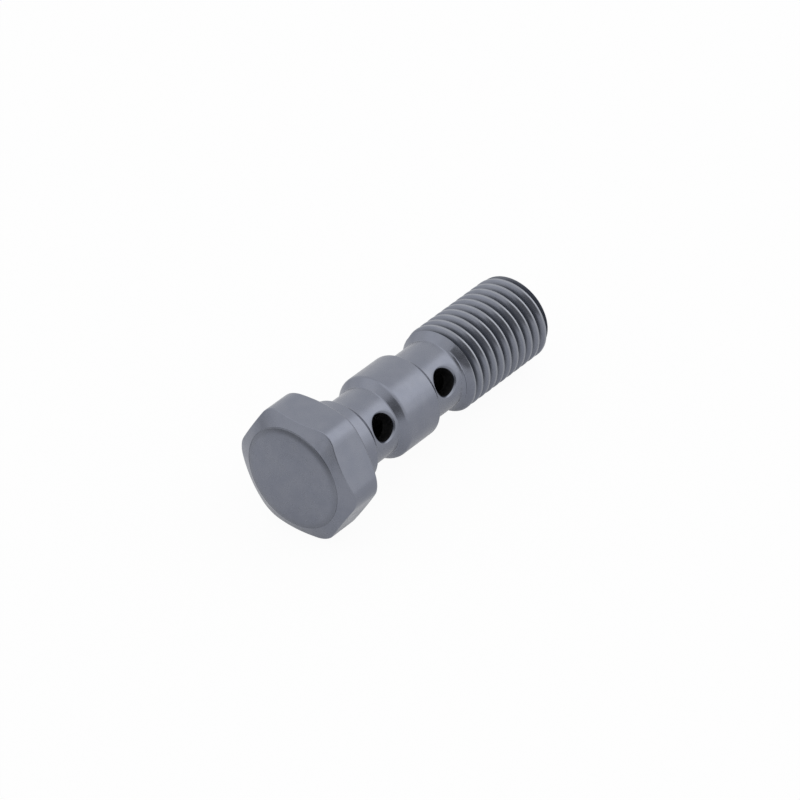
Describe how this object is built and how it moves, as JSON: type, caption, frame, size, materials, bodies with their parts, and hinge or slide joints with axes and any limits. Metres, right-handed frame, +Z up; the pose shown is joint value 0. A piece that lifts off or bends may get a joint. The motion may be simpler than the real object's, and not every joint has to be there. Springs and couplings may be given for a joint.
{
  "type": "double banjo bolt",
  "caption": "Hollow hex-head bolt with two necked and cross-drilled waists that feed stacked banjo fittings, and a fine thread at its end.",
  "frame": {"origin": "on the ground under the middle of the bolt, as it lies at rest on a flat of its hexagon", "axes": "+X from the head towards the thread's end, along the bolt's length; +Z up. The bolt's own axis slopes 3.50 degrees down towards +X, because the thread is thinner than the head"},
  "size_m": [0.0388, 0.0156, 0.0142],
  "materials": {
    "gunmetal": "satin blue-grey gunmetal"
  },
  "bodies": {
    "root": {"banjo_bolt": "gunmetal"}
  },
  "joints": []
}
